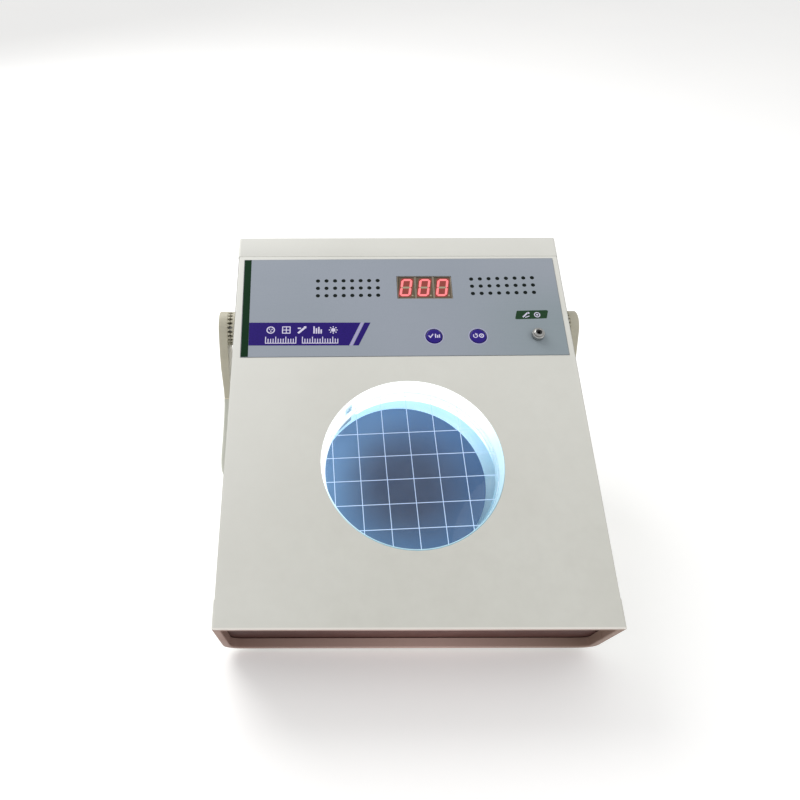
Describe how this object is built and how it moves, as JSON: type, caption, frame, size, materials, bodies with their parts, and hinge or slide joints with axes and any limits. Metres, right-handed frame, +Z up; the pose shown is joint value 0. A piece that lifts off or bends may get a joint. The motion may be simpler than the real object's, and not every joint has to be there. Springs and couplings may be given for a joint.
{
  "type": "bench-top colony counter",
  "caption": "Flat bench instrument for counting colonies in a Petri dish: a lit round window with an etched grid, a red digit display and push buttons, propped on a toothed bail handle.",
  "frame": {"origin": "on the table, midway along the footprint and on the case's middle plane", "axes": "+Y from the low front edge to the raised rear, +X to the right of a user at the front, +Z up; the case leans back by 23.4 degrees about X"},
  "size_m": [0.2642, 0.279, 0.1669],
  "materials": {
    "case_abs": "fine moulded texture, warm ivory",
    "handle_abs": "fine moulded texture, darker ivory",
    "end_panel": "matt brown-grey sheet",
    "label_film": "printed matt film",
    "led_digit": "dark face with red segments",
    "button_indigo": "satin indigo",
    "plated_steel": "bright nickel plating",
    "plate_glass": "clear, with a ground grid",
    "lamp_glass": "opal white tube",
    "white_plastic": "white reflector finish",
    "dark_field": "deep blue matt",
    "rubber_black": "matt",
    "board_green": "green solder mask",
    "black_plastic": "satin black",
    "core_steel": "varnished laminations",
    "cable_pvc": "soft sheath"
  },
  "bodies": {
    "case": {"upper_case": "case_abs", "lower_case": "case_abs", "front_panel": "end_panel", "rear_panel": "end_panel", "label_overlay": "label_film", "case_screw_1": "plated_steel", "case_screw_2": "plated_steel", "case_screw_3": "plated_steel", "case_screw_4": "plated_steel", "foot_front_left": "rubber_black", "foot_front_right": "rubber_black", "foot_rear_left": "rubber_black", "foot_rear_right": "rubber_black", "hub_boss_left": "handle_abs", "hub_boss_right": "handle_abs", "detent_spring_left": "plated_steel", "detent_spring_right": "plated_steel", "main_board": "board_green", "digit_left": "led_digit", "digit_middle": "led_digit", "digit_right": "led_digit", "tact_switch_test": "black_plastic", "tact_switch_reset": "black_plastic", "counter_chip": "black_plastic", "buzzer": "black_plastic", "probe_jack": "plated_steel", "jack_nut": "plated_steel", "board_screw_1": "plated_steel", "board_screw_2": "plated_steel", "window_ring": "white_plastic", "grid_plate": "plate_glass", "lamp_reflector": "white_plastic", "ring_lamp": "lamp_glass", "lamp_socket": "white_plastic", "lamp_clip": "plated_steel", "base_disc": "dark_field", "mains_inlet": "black_plastic", "switch_housing": "black_plastic", "fuse_holder": "black_plastic", "inlet_screw_left": "plated_steel", "inlet_screw_right": "plated_steel", "transformer": "core_steel", "lamp_ballast": "white_plastic", "board_cable": "cable_pvc", "lamp_lead": "cable_pvc"},
    "handle": {"handle_arm_left": "handle_abs", "handle_arm_right": "handle_abs", "handle_grip": "handle_abs", "pivot_screw_left": "plated_steel", "pivot_screw_right": "plated_steel", "pivot_nut_left": "plated_steel", "pivot_nut_right": "plated_steel", "hub_cap_left": "handle_abs", "hub_cap_right": "handle_abs"},
    "test_key": {"button_test": "button_indigo", "key_plunger_test": "black_plastic"},
    "reset_key": {"button_reset": "button_indigo", "key_plunger_reset": "black_plastic"},
    "rocker": {"power_rocker": "black_plastic"},
    "fuse_knob": {"fuse_cap": "black_plastic"}
  },
  "joints": [
    {"name": "handle_swing", "type": "hinge", "parent": "case", "child": "handle", "pos_m": [0, 0.07314, 0.11584], "axis": [1, 0, 0], "range_deg": [-24.5, 294.5]},
    {"name": "test_press", "type": "slide", "parent": "case", "child": "test_key", "axis": [0, 0.3974, -0.9177], "range_m": [0, 0.001], "stiffness_N_per_m": 500, "springref_m": -0.0008},
    {"name": "reset_press", "type": "slide", "parent": "case", "child": "reset_key", "axis": [0, 0.3974, -0.9177], "range_m": [0, 0.001], "stiffness_N_per_m": 500, "springref_m": -0.0008},
    {"name": "power_rock", "type": "hinge", "parent": "case", "child": "rocker", "pos_m": [0.015, 0.12242, 0.13718], "axis": [1, 0, 0], "range_deg": [0, 20]},
    {"name": "fuse_twist", "type": "hinge", "parent": "case", "child": "fuse_knob", "pos_m": [-0.02, 0.12022, 0.13623], "axis": [0, 0.9177, 0.3974], "range_deg": [0, 60]}
  ]
}
